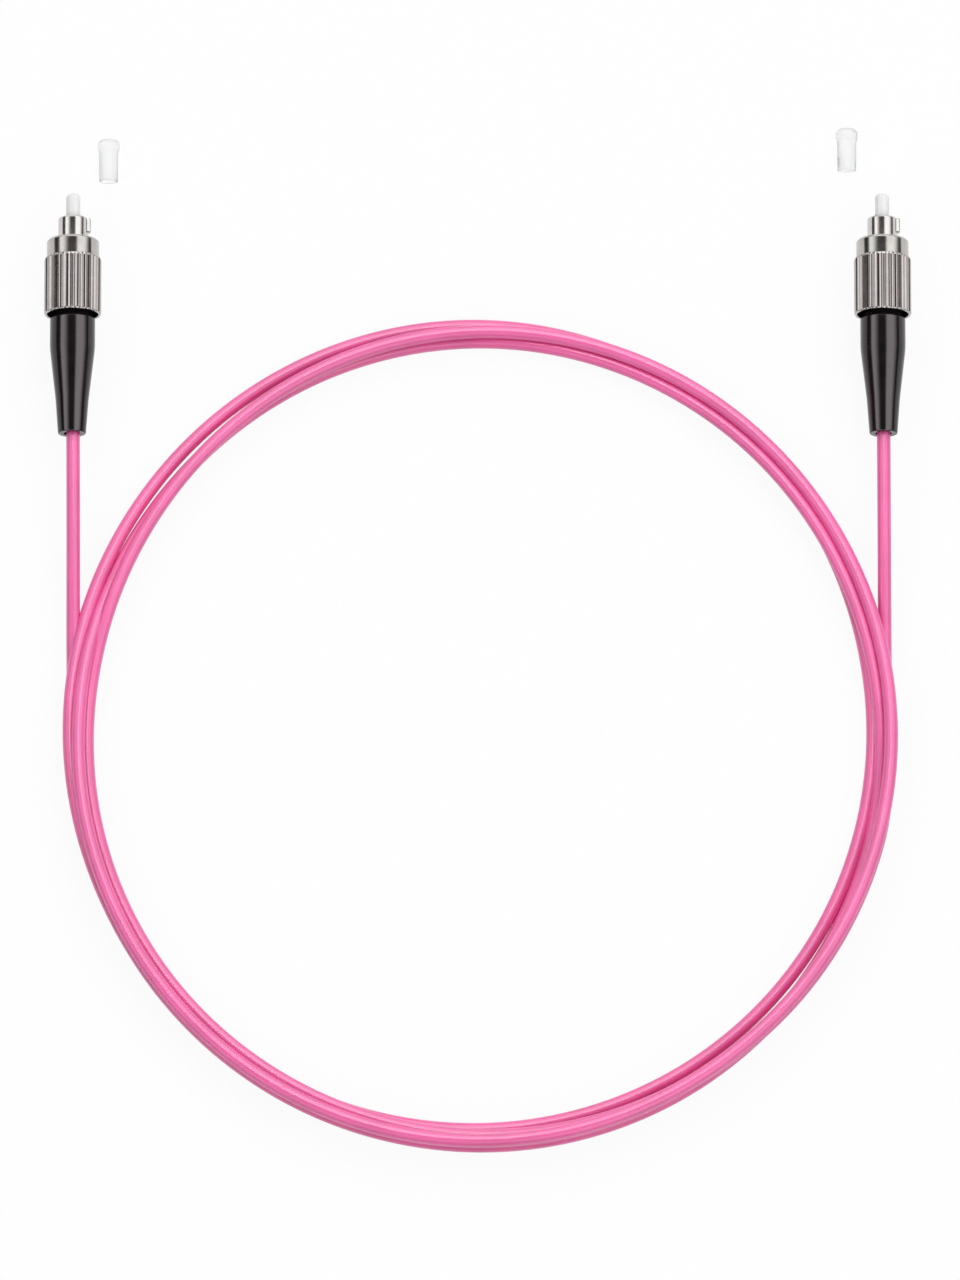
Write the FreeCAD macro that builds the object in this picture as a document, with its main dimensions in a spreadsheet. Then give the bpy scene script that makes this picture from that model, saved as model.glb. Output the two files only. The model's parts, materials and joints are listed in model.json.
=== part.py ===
import FreeCAD, Part
import math
import os
import Sketcher

# Fibre patch cord: a screw-on connector at each end of a cord that lies in a loose ring.
# Frame: +Z up, the connectors' axes along +Y with their tips forward, the floor at z = 0 and the
# origin on the floor, midway between the connectors and half way along them and their caps.

doc = FreeCAD.newDocument("fibre_patch_cord")

# Driving dimensions, in millimetres unless the name says otherwise.
SIZES = {
    "connector_spacing": 142.1,
    # Lengths of the connector as they show from outside, from the boot's end to the tip.
    "boot_taper": 14.8,
    "boot_straight": 6.15,
    "nut_length": 13.6,
    "barrel_exposed": 4.0,
    "ferrule_protrusion": 4.4,
    # Ferrule and its holder.
    "ferrule_diameter": 2.5,
    "ferrule_length": 10.5,
    "ferrule_seat_diameter": 2.1,
    "ferrule_chamfer": 0.4,
    "ferrule_push": 1.2,
    "flange_clearance": 0.1,
    "flange_thickness": 1.5,
    "hub_diameter": 3.0,
    "hub_web": 0.92,
    "stem_diameter": 1.8,
    "stem_length": 1.6,
    "fibre_diameter": 0.125,
    "buffer_diameter": 0.9,
    # Barrel.
    "barrel_diameter": 5.25,
    "barrel_chamfer": 0.25,
    "chamber_diameter": 4.3,
    "recess_step": 0.3,
    "recess_depth": 3.4,
    "key_width": 2.14,
    "key_height": 0.5,
    "key_length": 2.6,
    "shoulder_clearance": 0.1,
    "shoulder_thickness": 1.5,
    "shoulder_setback": 5.0,
    "neck_diameter": 5.6,
    # Spring.
    "spring_wire": 0.35,
    "spring_room": 1.2,
    "spring_turns": 5,
    # Rear body, yarn and crimp.
    "collar_clearance": 0.3,
    "collar_thickness": 1.4,
    "post_diameter": 3.4,
    "post_length": 6.4,
    "post_ridge": 0.15,
    "post_ridges": 3,
    "yarn_thickness": 0.2,
    "crimp_wall": 0.4,
    "crimp_grip_length": 4.0,
    "crimp_gap": 0.4,
    # Nut and its ring.
    "nut_smooth_length": 3.3,
    "nut_step": 0.4,
    "nut_front_chamfer": 0.4,
    "knurl_diameter": 10.0,
    "knurl_depth": 0.28,
    "knurl_chamfer": 0.4,
    "knurl_ribs": 40,
    "thread_bore": 7.2,
    "thread_chamfer": 0.4,
    "skirt_wall": 0.65,
    "groove_land": 1.05,
    "skirt_chamfer": 0.2,
    "ring_thickness": 0.7,
    "ring_depth": 0.3,
    "ring_opening_deg": 40,
    "nut_travel": 4.0,
    # Boot.
    "boot_gap": 0.4,
    "boot_tail_diameter": 4.85,
    "boot_tail_chamfer": 0.4,
    "boot_setback": 0.3,
    # Dust cap.
    "cap_length": 7.5,
    "cap_diameter": 3.3,
    "cap_head_diameter": 4.0,
    "cap_head_length": 1.9,
    "cap_head_chamfer": 0.5,
    "cap_top": 1.5,
    "cap_mouth_chamfer": 0.15,
    "cap_offset": 64.95,
    "cap_gap_a": 3.3,
    "cap_gap_b": 5.3,
    # Cord.
    "cord_diameter": 2.4,
    "coil_diameter": 142.4,
    "coil_width": 5.8,
    "coil_height": 5.4,
    "coil_chamfer": 1.3,
    "coil_centre_x": 0.3,
    "coil_setback": 53.7,
    # Clearances.
    "slip_clearance": 0.05,
    "seat_clearance": 0.02,
}

dims = doc.addObject("Spreadsheet::Sheet", "dims")
for row, (alias, value) in enumerate(SIZES.items(), start=1):
    dims.set(f"A{row}", alias)
    dims.set(f"B{row}", str(value))
    dims.setAlias(f"B{row}", alias)
doc.recompute()


def value(expression):
    """Number that an expression on the sheet's cells gives."""
    return float(dims.evalExpression(expression))


# Stations along a connector, from the boot's end (0) to the ferrule's tip.
NUT_REAR = "dims.boot_taper + dims.boot_straight"
NUT_FRONT = f"{NUT_REAR} + dims.nut_length"
KNURL_FRONT = f"{NUT_FRONT} - dims.nut_smooth_length"
BARREL_FRONT = f"{NUT_FRONT} + dims.barrel_exposed"
TIP = f"{BARREL_FRONT} + dims.ferrule_protrusion"
FERRULE_REAR = f"{TIP} - dims.ferrule_length"
RECESS_FLOOR = f"{BARREL_FRONT} - dims.recess_depth"
FLANGE_FRONT = f"{RECESS_FLOOR} - dims.seat_clearance"
FLANGE_REAR = f"{FLANGE_FRONT} - dims.flange_thickness"
HUB_REAR = f"{FERRULE_REAR} - dims.hub_web"
STEM_REAR = f"{HUB_REAR} - dims.stem_length"
SPRING_REAR = f"{HUB_REAR} - dims.ferrule_push - dims.spring_room"
SHOULDER_FRONT = f"{BARREL_FRONT} - dims.shoulder_setback"
SHOULDER_REAR = f"{SHOULDER_FRONT} - dims.shoulder_thickness"
RING_FRONT = f"{SHOULDER_REAR} - dims.nut_travel"
RING_REAR = f"{RING_FRONT} - dims.ring_thickness"
GROOVE_FRONT = f"{RING_FRONT} + dims.slip_clearance"
GROOVE_REAR = f"{RING_REAR} - dims.slip_clearance"
SKIRT_FRONT = f"{GROOVE_REAR} - dims.groove_land"
NECK_REAR = f"{RING_REAR} - dims.slip_clearance"
COLLAR_REAR = f"{NECK_REAR} - dims.collar_thickness"
POST_REAR = f"{COLLAR_REAR} - dims.post_length"
JACKET_END = f"{POST_REAR} - dims.crimp_gap"
BOOT_FRONT = f"{COLLAR_REAR} - dims.boot_setback"
CRIMP_FRONT = f"{BOOT_FRONT} - dims.seat_clearance"
GRIP_FRONT = f"{JACKET_END} - dims.crimp_gap"
CRIMP_REAR = f"{GRIP_FRONT} - dims.crimp_grip_length"
BUFFER_REAR = f"{POST_REAR} + dims.ferrule_push + dims.slip_clearance"

# Radii that two pieces share.
FERRULE_RADIUS = "dims.ferrule_diameter / 2"
FERRULE_SEAT = "dims.ferrule_seat_diameter / 2"
CHAMBER_RADIUS = "dims.chamber_diameter / 2"
THREAD_RADIUS = "dims.thread_bore / 2"
NECK_RADIUS = "dims.neck_diameter / 2"
KNURL_RADIUS = "dims.knurl_diameter / 2"
SKIRT_RADIUS = f"{KNURL_RADIUS} - dims.skirt_wall"
RING_RADIUS = f"{THREAD_RADIUS} + dims.ring_depth"
GROOVE_RADIUS = f"{RING_RADIUS} + dims.slip_clearance"
BUFFER_BORE = "dims.buffer_diameter / 2 + dims.slip_clearance"
POST_RADIUS = "dims.post_diameter / 2"
YARN_RADIUS = "dims.post_diameter / 2 + dims.post_ridge + dims.yarn_thickness"
CRIMP_RADIUS = f"{YARN_RADIUS} + dims.crimp_wall"
CORD_RADIUS = "dims.cord_diameter / 2"
GRIP_RADIUS = f"{CORD_RADIUS} + dims.crimp_wall"
CAP_BORE = FERRULE_RADIUS

# Where a connector's boot ends in the part's frame.
CONNECTOR_Z = KNURL_RADIUS
CONNECTOR_Y = f"-({TIP} + dims.cap_gap_b + dims.cap_length) / 2"
SIDES = {"a": -1, "b": 1}


def origin_feature(body, role):
    """Origin plane or axis of a body."""
    return next(f for f in body.Origin.OriginFeatures if f.Role == role)


def place(item, x, y, z):
    """Bind an object's position to expressions."""
    for axis, expression in zip("xyz", (x, y, z)):
        item.setExpression(f".Placement.Base.{axis}", expression)


def new_body(label, side):
    """Empty body on the axis of the connector on one side, its origin at the boot's end."""
    body = doc.addObject("PartDesign::Body", label)
    body.Label = label
    place(body, f"{SIDES[side]} * dims.connector_spacing / 2", CONNECTOR_Y, CONNECTOR_Z)
    return body


def sketch_on(body, name, role="XY_Plane"):
    """Sketch on one of a body's own origin planes."""
    sketch = body.newObject("Sketcher::SketchObject", name)
    sketch.AttachmentSupport = [(origin_feature(body, role), "")]
    sketch.MapMode = "FlatFace"
    return sketch


def bind(sketch, kind, *where):
    """Add one driven constraint: its last argument is an expression."""
    index = sketch.addConstraint(Sketcher.Constraint(kind, *where[:-1], 1.0))
    sketch.setExpression(f"Constraints[{index}]", where[-1])


def closed_outline(sketch, points):
    """Closed polygon whose corners are bound to (across, along) expressions, None for zero."""
    count = len(points)
    start = [FreeCAD.Vector(2 - math.cos(2 * math.pi * i / count), 2 + math.sin(2 * math.pi * i / count), 0)
             for i in range(count)]
    for i in range(count):
        sketch.addGeometry(Part.LineSegment(start[i], start[(i + 1) % count]))
    for i in range(count):
        sketch.addConstraint(Sketcher.Constraint("Coincident", i, 2, (i + 1) % count, 1))
    for i, (across, along) in enumerate(points):
        if across is None:
            sketch.addConstraint(Sketcher.Constraint("PointOnObject", i, 1, -2))
        else:
            bind(sketch, "DistanceX", -1, 1, i, 1, across)
        if along is None:
            sketch.addConstraint(Sketcher.Constraint("PointOnObject", i, 1, -1))
        else:
            bind(sketch, "DistanceY", -1, 1, i, 1, along)


def turn(body, points, angle="360", plane="XY_Plane", axis="Y_Axis"):
    """Revolve an outline of (radius, station) points about one of the body's axes."""
    sketch = sketch_on(body, body.Label + "_profile", plane)
    closed_outline(sketch, points)
    revolution = body.newObject("PartDesign::Revolution", body.Label + "_turned")
    revolution.Profile = sketch
    revolution.ReferenceAxis = (origin_feature(body, axis), [""])
    revolution.setExpression("Angle", angle)
    doc.recompute()
    return revolution


def ferrule(side):
    """Ceramic ferrule, chamfered at the tip, its rear end turned down for the holder."""
    body = new_body(f"ferrule_{side}", side)
    hole = "dims.fibre_diameter / 2 + dims.seat_clearance / 4"
    turn(body, [
        (hole, FERRULE_REAR),
        (FERRULE_SEAT, FERRULE_REAR),
        (FERRULE_SEAT, FLANGE_FRONT),
        (FERRULE_RADIUS, FLANGE_FRONT),
        (FERRULE_RADIUS, f"{TIP} - dims.ferrule_chamfer"),
        (f"{FERRULE_RADIUS} - dims.ferrule_chamfer", TIP),
        (hole, TIP),
    ])
    return body


def ferrule_flange(side):
    """Metal holder: a disc that rests on the barrel's step, a hub round the ferrule and a stem."""
    body = new_body(f"ferrule_flange_{side}", side)
    seat = f"{FERRULE_SEAT} + dims.seat_clearance"
    disc = f"{CHAMBER_RADIUS} - dims.flange_clearance"
    turn(body, [
        (seat, FLANGE_FRONT),
        (disc, FLANGE_FRONT),
        (disc, FLANGE_REAR),
        ("dims.hub_diameter / 2", FLANGE_REAR),
        ("dims.hub_diameter / 2", HUB_REAR),
        ("dims.stem_diameter / 2", HUB_REAR),
        ("dims.stem_diameter / 2", STEM_REAR),
        (BUFFER_BORE, STEM_REAR),
        (BUFFER_BORE, FERRULE_REAR),
        (seat, FERRULE_REAR),
    ])
    return body


def buffered_fibre(side):
    """Bare fibre in the ferrule and the buffered fibre behind it."""
    body = new_body(f"buffered_fibre_{side}", side)
    buffer_front = f"{FERRULE_REAR} - dims.seat_clearance"
    turn(body, [
        (None, BUFFER_REAR),
        ("dims.buffer_diameter / 2", BUFFER_REAR),
        ("dims.buffer_diameter / 2", buffer_front),
        ("dims.fibre_diameter / 2", buffer_front),
        ("dims.fibre_diameter / 2", TIP),
        (None, TIP),
    ])
    return body


def plug_frame(side):
    """Barrel with its recess, inner step, shoulder and neck, and the locating key at the front rim."""
    body = new_body(f"plug_frame_{side}", side)
    barrel = "dims.barrel_diameter / 2"
    recess = f"{CHAMBER_RADIUS} - dims.recess_step"
    shoulder = f"{THREAD_RADIUS} - dims.shoulder_clearance"
    turn(body, [
        (recess, BARREL_FRONT),
        (f"{barrel} - dims.barrel_chamfer", BARREL_FRONT),
        (barrel, f"{BARREL_FRONT} - dims.barrel_chamfer"),
        (barrel, SHOULDER_FRONT),
        (shoulder, SHOULDER_FRONT),
        (shoulder, SHOULDER_REAR),
        (NECK_RADIUS, SHOULDER_REAR),
        (NECK_RADIUS, NECK_REAR),
        (CHAMBER_RADIUS, NECK_REAR),
        (CHAMBER_RADIUS, RECESS_FLOOR),
        (recess, RECESS_FLOOR),
    ])
    section = sketch_on(body, body.Label + "_key_section", "XZ_Plane")
    section.setExpression("AttachmentOffset.Base.z", f"-({BARREL_FRONT} - dims.barrel_chamfer)")
    inner = f"({recess} + {barrel}) / 2"
    outer = f"{barrel} + dims.key_height"
    half_key = "dims.key_width / 2"
    closed_outline(section, [
        (inner, f"-{half_key}"),
        (outer, f"-{half_key}"),
        (outer, half_key),
        (inner, half_key),
    ])
    key = body.newObject("PartDesign::Pad", body.Label + "_key")
    key.Profile = section
    key.setExpression("Length", "dims.key_length")
    doc.recompute()
    return body


def spring(side):
    """Coil spring between the flange and the rear body, its wire six-sided to keep facets few."""
    wire = value("dims.spring_wire")
    mean_radius = value("(dims.hub_diameter + dims.chamber_diameter) / 4")
    rise = value(f"{FLANGE_REAR} - ({SPRING_REAR}) - dims.spring_wire")
    steps_a_turn = 12
    steps = int(value("dims.spring_turns") * steps_a_turn)
    path = [FreeCAD.Vector(mean_radius * math.cos(2 * math.pi * i / steps_a_turn), rise * i / steps,
                           mean_radius * math.sin(2 * math.pi * i / steps_a_turn)) for i in range(steps + 1)]
    first = path[1] - path[0]
    corners = [FreeCAD.Vector(wire / 2 * math.cos(math.radians(a)), wire / 2 * math.sin(math.radians(a)), 0)
               for a in range(0, 361, 60)]
    facing = FreeCAD.Rotation(FreeCAD.Vector(0, 0, 1), first)
    section = Part.makePolygon([path[0] + facing.multVec(c) for c in corners])
    item = doc.addObject("Part::Feature", f"spring_{side}")
    item.Shape = Part.Wire(Part.makePolygon(path).Edges).makePipeShell([section], True, False, 1)
    place(item, f"{SIDES[side]} * dims.connector_spacing / 2",
          f"{CONNECTOR_Y} + {SPRING_REAR} + dims.spring_wire / 2", CONNECTOR_Z)
    doc.recompute()
    return item


def stop_body(side):
    """Rear body: a spigot in the spring chamber, a collar and a ridged post for the crimp."""
    body = new_body(f"stop_body_{side}", side)
    spigot = f"{CHAMBER_RADIUS} - dims.seat_clearance"
    collar = f"{THREAD_RADIUS} - dims.collar_clearance"
    stem_room = "dims.stem_diameter / 2 + dims.slip_clearance"
    stem_room_rear = f"{STEM_REAR} - dims.ferrule_push - dims.slip_clearance"
    outline = [
        (stem_room, SPRING_REAR),
        (spigot, SPRING_REAR),
        (spigot, NECK_REAR),
        (collar, NECK_REAR),
        (collar, COLLAR_REAR),
        (POST_RADIUS, COLLAR_REAR),
    ]
    pitch = "dims.post_length / (dims.post_ridges + 1)"
    for ridge in range(1, int(value("dims.post_ridges")) + 1):
        crest = f"{COLLAR_REAR} - {ridge} * {pitch}"
        outline += [
            (POST_RADIUS, f"{crest} + dims.post_ridge"),
            (f"{POST_RADIUS} + dims.post_ridge", crest),
            (POST_RADIUS, f"{crest} - dims.post_ridge"),
        ]
    outline += [
        (POST_RADIUS, POST_REAR),
        (BUFFER_BORE, POST_REAR),
        (BUFFER_BORE, stem_room_rear),
        (stem_room, stem_room_rear),
    ]
    turn(body, outline)
    return body


def retaining_ring(side):
    """Open ring that rides on the barrel's neck in the nut's groove."""
    body = new_body(f"retaining_ring_{side}", side)
    inner = f"{NECK_RADIUS} + dims.slip_clearance"
    turn(body, [
        (inner, RING_REAR),
        (RING_RADIUS, RING_REAR),
        (RING_RADIUS, RING_FRONT),
        (inner, RING_FRONT),
    ], angle="360 - dims.ring_opening_deg")
    return body


def coupling_nut(side):
    """Nut with a smooth front, a straight-knurled rear, a thread bore, a ring groove and a skirt."""
    body = new_body(f"coupling_nut_{side}", side)
    smooth = f"{KNURL_RADIUS} - dims.nut_step"
    turn(body, [
        (f"{THREAD_RADIUS} + dims.thread_chamfer", NUT_FRONT),
        (f"{smooth} - dims.nut_front_chamfer", NUT_FRONT),
        (smooth, f"{NUT_FRONT} - dims.nut_front_chamfer"),
        (smooth, KNURL_FRONT),
        (f"{KNURL_RADIUS} - dims.knurl_chamfer / 2", KNURL_FRONT),
        (KNURL_RADIUS, f"{KNURL_FRONT} - dims.knurl_chamfer"),
        (KNURL_RADIUS, f"{NUT_REAR} + dims.knurl_chamfer"),
        (f"{KNURL_RADIUS} - dims.knurl_chamfer / 2", NUT_REAR),
        (f"{SKIRT_RADIUS} + dims.skirt_chamfer", NUT_REAR),
        (SKIRT_RADIUS, f"{NUT_REAR} + dims.skirt_chamfer"),
        (SKIRT_RADIUS, SKIRT_FRONT),
        (THREAD_RADIUS, SKIRT_FRONT),
        (THREAD_RADIUS, GROOVE_REAR),
        (GROOVE_RADIUS, GROOVE_REAR),
        (GROOVE_RADIUS, GROOVE_FRONT),
        (THREAD_RADIUS, GROOVE_FRONT),
        (THREAD_RADIUS, f"{NUT_FRONT} - dims.thread_chamfer"),
    ])
    section = sketch_on(body, body.Label + "_flute_section", "XZ_Plane")
    half_flute = "pi * dims.knurl_diameter / dims.knurl_ribs / 2"
    clear_of_ribs = f"{KNURL_RADIUS} + dims.knurl_depth / 4"
    closed_outline(section, [
        (f"-{half_flute}", clear_of_ribs),
        (half_flute, clear_of_ribs),
        (None, f"{KNURL_RADIUS} - dims.knurl_depth"),
    ])
    flute = body.newObject("PartDesign::Pocket", body.Label + "_flute")
    flute.Profile = section
    flute.Type = "ThroughAll"
    flute.Midplane = True
    doc.recompute()
    ribs = body.newObject("PartDesign::PolarPattern", body.Label + "_ribs")
    ribs.Originals = [flute]
    ribs.Axis = (origin_feature(body, "Y_Axis"), [""])
    ribs.Angle = 360
    ribs.setExpression("Occurrences", "dims.knurl_ribs")
    body.Tip = ribs
    doc.recompute()
    return body


def crimp_sleeve(side):
    """Sleeve crimped over the yarn on the post, necked down to grip the cord's jacket."""
    body = new_body(f"crimp_sleeve_{side}", side)
    grip = f"{CORD_RADIUS} + dims.seat_clearance"
    turn(body, [
        (f"{YARN_RADIUS} + dims.seat_clearance", JACKET_END),
        (f"{YARN_RADIUS} + dims.seat_clearance", CRIMP_FRONT),
        (CRIMP_RADIUS, CRIMP_FRONT),
        (CRIMP_RADIUS, JACKET_END),
        (GRIP_RADIUS, GRIP_FRONT),
        (GRIP_RADIUS, CRIMP_REAR),
        (grip, CRIMP_REAR),
        (grip, GRIP_FRONT),
    ])
    return body


def aramid_yarn(side):
    """Layer of strength yarn folded back over the post's ridges."""
    body = new_body(f"aramid_yarn_{side}", side)
    inner = f"{POST_RADIUS} + dims.post_ridge + dims.seat_clearance"
    turn(body, [
        (inner, POST_REAR),
        (YARN_RADIUS, POST_REAR),
        (YARN_RADIUS, CRIMP_FRONT),
        (inner, CRIMP_FRONT),
    ])
    return body


def boot(side):
    """Rubber boot: a straight head in the nut's skirt, a long taper and a stepped bore."""
    body = new_body(f"boot_{side}", side)
    head = f"{SKIRT_RADIUS} - dims.boot_gap"
    tail = "dims.boot_tail_diameter / 2"
    sleeve = f"{CRIMP_RADIUS} + dims.seat_clearance"
    grip = f"{GRIP_RADIUS} + dims.seat_clearance"
    cord = f"{CORD_RADIUS} + dims.slip_clearance"
    turn(body, [
        (cord, None),
        (f"{tail} - dims.boot_tail_chamfer", None),
        (tail, "dims.boot_tail_chamfer"),
        (head, "dims.boot_taper"),
        (head, BOOT_FRONT),
        (sleeve, BOOT_FRONT),
        (sleeve, JACKET_END),
        (grip, GRIP_FRONT),
        (grip, CRIMP_REAR),
        (cord, CRIMP_REAR),
    ])
    return body


def dust_cap(side):
    """Ferrule cap with a wider closed head, lying on its head's lower rim and its mouth."""
    body = doc.addObject("PartDesign::Body", f"dust_cap_{side}")
    body.Label = f"dust_cap_{side}"
    wall = "dims.cap_diameter / 2"
    head = "dims.cap_head_diameter / 2"
    shoulder = "dims.cap_length - dims.cap_head_length"
    lean = f"atan(({head} - {wall}) / ({shoulder}))"
    place(body, f"{SIDES[side]} * dims.cap_offset",
          f"{CONNECTOR_Y} + {TIP} + dims.cap_gap_{side}", f"{wall} * cos({lean})")
    body.Placement.Rotation.Axis = FreeCAD.Vector(1, 0, 0)
    body.setExpression(".Placement.Rotation.Axis.x", "1")
    body.setExpression(".Placement.Rotation.Axis.z", "0")
    body.setExpression(".Placement.Rotation.Angle", lean)
    turn(body, [
        (f"{CAP_BORE} + dims.cap_mouth_chamfer", None),
        (wall, None),
        (wall, shoulder),
        (head, shoulder),
        (head, "dims.cap_length - dims.cap_head_chamfer"),
        (f"{head} - dims.cap_head_chamfer", "dims.cap_length"),
        (None, "dims.cap_length"),
        (None, "dims.cap_length - dims.cap_top"),
        (CAP_BORE, "dims.cap_length - dims.cap_top"),
        (CAP_BORE, "dims.cap_mouth_chamfer"),
    ])
    return body


def cord_tube(label, route):
    """Tube of the cord's diameter along straight runs joined by the largest tangent arcs they allow."""
    points = [FreeCAD.Vector(*p) for p in route]
    share_of_run = 0.45
    edges = []
    start = points[0]
    for before, corner, after in zip(points, points[1:], points[2:]):
        arriving = (corner - before).normalize()
        leaving = (after - corner).normalize()
        half_turn = arriving.getAngle(leaving) / 2
        reach = share_of_run * min((corner - before).Length, (after - corner).Length)
        radius = reach / math.tan(half_turn)
        print(f"{label}: bend radius {radius:.1f} mm")
        arc_start = corner - arriving * reach
        arc_end = corner + leaving * reach
        to_middle = (leaving - arriving).normalize()
        middle = corner + to_middle * (radius / math.cos(half_turn) - radius)
        edges.append(Part.LineSegment(start, arc_start).toShape())
        edges.append(Part.Arc(arc_start, middle, arc_end).toShape())
        start = arc_end
    edges.append(Part.LineSegment(start, points[-1]).toShape())
    path = Part.Wire(edges)
    radius = value(CORD_RADIUS)
    section = Part.Wire([Part.makeCircle(radius, points[0], points[1] - points[0])])
    tube = path.makePipeShell([section], True, False)
    expected = math.pi * radius ** 2 * path.Length
    print(f"{label}: length {path.Length:.2f} mm, volume {tube.Volume:.2f} of {expected:.2f} mm3")
    item = doc.addObject("Part::Feature", label)
    item.Shape = tube
    return item


def cord_tail(side):
    """Straight run of cord from inside the boot, down to the floor and under the coil's side."""
    outward = SIDES[side]
    x = outward * value("dims.connector_spacing / 2")
    axis_z = value(CONNECTOR_Z)
    floor_z = value(CORD_RADIUS)
    return cord_tube(f"cord_tail_{side}", [
        (x, value(f"{CONNECTOR_Y} + {JACKET_END}"), axis_z),
        (x, -41.0, axis_z),
        (x, -73.0, floor_z),
        (outward * 69.8, -95.0, floor_z),
    ])


def cord_coil():
    """Ring with the outer shape of the loose coil of cord."""
    body = doc.addObject("PartDesign::Body", "cord_coil")
    body.Label = "cord_coil"
    place(body, "dims.coil_centre_x", f"{CONNECTOR_Y} - dims.coil_setback", "0")
    inner = "dims.coil_diameter / 2 - dims.coil_width / 2"
    outer = "dims.coil_diameter / 2 + dims.coil_width / 2"
    top = "dims.coil_height"
    turn(body, [
        (inner, None),
        (outer, None),
        (outer, f"{top} - dims.coil_chamfer"),
        (f"{outer} - dims.coil_chamfer", top),
        (f"{inner} + dims.coil_chamfer", top),
        (inner, f"{top} - dims.coil_chamfer"),
    ], plane="XZ_Plane", axis="Z_Axis")
    return body


CONNECTOR_PIECES = (
    ferrule, ferrule_flange, buffered_fibre, plug_frame, spring, stop_body, retaining_ring,
    coupling_nut, crimp_sleeve, aramid_yarn, boot, dust_cap, cord_tail,
)
pieces = [make(side) for side in SIDES for make in CONNECTOR_PIECES]
pieces.append(cord_coil())
doc.recompute()

for item in doc.Objects:
    if "Invalid" in item.State or "Error" in item.State:
        raise RuntimeError(f"{item.Label} failed: {item.State}")
for piece in pieces:
    if piece.Shape.isNull() or not piece.Shape.isValid() or not piece.Shape.Solids:
        raise RuntimeError(f"{piece.Label} has no valid solid")

os.makedirs("parts", exist_ok=True)
for piece in pieces:
    piece.Shape.exportStep(f"parts/{piece.Label}.step")
    print(f"{piece.Label}: {len(piece.Shape.Solids)} solid, {piece.Shape.Volume:.2f} mm3")
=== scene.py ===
"""Looks of a fibre patch cord: two knurled screw-on connectors, boots, caps and a coiled cord."""

import json
import math

import bmesh
import bpy
import numpy as np
from bpy.props import FloatProperty, FloatVectorProperty, IntProperty, PointerProperty
from mathutils import Matrix, Vector


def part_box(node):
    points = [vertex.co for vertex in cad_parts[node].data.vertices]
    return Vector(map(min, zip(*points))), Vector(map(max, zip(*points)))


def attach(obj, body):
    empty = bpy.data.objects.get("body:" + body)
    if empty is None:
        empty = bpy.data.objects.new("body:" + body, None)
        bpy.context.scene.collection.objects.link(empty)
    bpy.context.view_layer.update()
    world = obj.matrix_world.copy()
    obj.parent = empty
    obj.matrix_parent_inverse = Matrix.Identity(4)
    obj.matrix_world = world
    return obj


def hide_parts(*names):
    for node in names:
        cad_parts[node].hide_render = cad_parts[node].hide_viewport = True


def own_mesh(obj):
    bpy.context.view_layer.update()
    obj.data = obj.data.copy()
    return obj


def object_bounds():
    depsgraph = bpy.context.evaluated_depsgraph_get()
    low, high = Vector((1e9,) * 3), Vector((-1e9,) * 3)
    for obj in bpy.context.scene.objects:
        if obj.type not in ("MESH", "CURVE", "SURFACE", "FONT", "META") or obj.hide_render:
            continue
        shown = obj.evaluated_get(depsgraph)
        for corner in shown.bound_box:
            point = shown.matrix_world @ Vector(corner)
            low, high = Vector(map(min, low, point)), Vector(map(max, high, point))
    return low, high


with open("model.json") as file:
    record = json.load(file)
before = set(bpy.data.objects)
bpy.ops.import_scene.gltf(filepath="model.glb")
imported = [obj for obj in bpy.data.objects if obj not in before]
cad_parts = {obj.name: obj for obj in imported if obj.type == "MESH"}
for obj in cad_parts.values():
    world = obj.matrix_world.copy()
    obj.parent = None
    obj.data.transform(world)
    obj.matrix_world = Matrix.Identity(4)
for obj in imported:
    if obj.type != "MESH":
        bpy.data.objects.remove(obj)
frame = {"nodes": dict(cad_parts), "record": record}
CAD_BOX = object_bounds()

bl_info = {
    "name": "Fibre patch cord",
    "version": (1, 0, 0),
    "blender": (4, 5, 0),
    "location": "View3D > Sidebar > Patch cord",
    "description": "Dresses the packed frame of a fibre patch cord with meshes and finishes",
    "category": "Object",
}

SIDES = ("a", "b")
CORD_LAMP = "cord_lamp"
BOOT_LAMPS = "boot_lamps"
MM = 0.001
FULL_TURN = 2 * math.pi
WHITE = (1.0, 1.0, 1.0, 1.0)


# Properties

def length(name, description, millimetres):
    """Length that a user may change; its default is given in millimetres."""
    return FloatProperty(name=name, description=description, default=millimetres * MM, unit="LENGTH",
                         min=0.0, precision=5)


def share(name, description, default):
    """Number from nought to one."""
    return FloatProperty(name=name, description=description, default=default, min=0.0, max=1.0,
                         subtype="FACTOR")


def angle(name, description, degrees):
    """Angle whose default is given in degrees."""
    return FloatProperty(name=name, description=description, default=math.radians(degrees),
                         subtype="ANGLE")


def colour(name, description, red, green, blue):
    """Colour in linear light."""
    return FloatVectorProperty(name=name, description=description, default=(red, green, blue), size=3,
                               min=0.0, max=1.0, subtype="COLOR")


def on_floor(name, description, x, y):
    """Place or shift on the floor; its default is given in millimetres."""
    return FloatVectorProperty(name=name, description=description, default=(x * MM, y * MM), size=2,
                               unit="LENGTH", precision=5)


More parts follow.
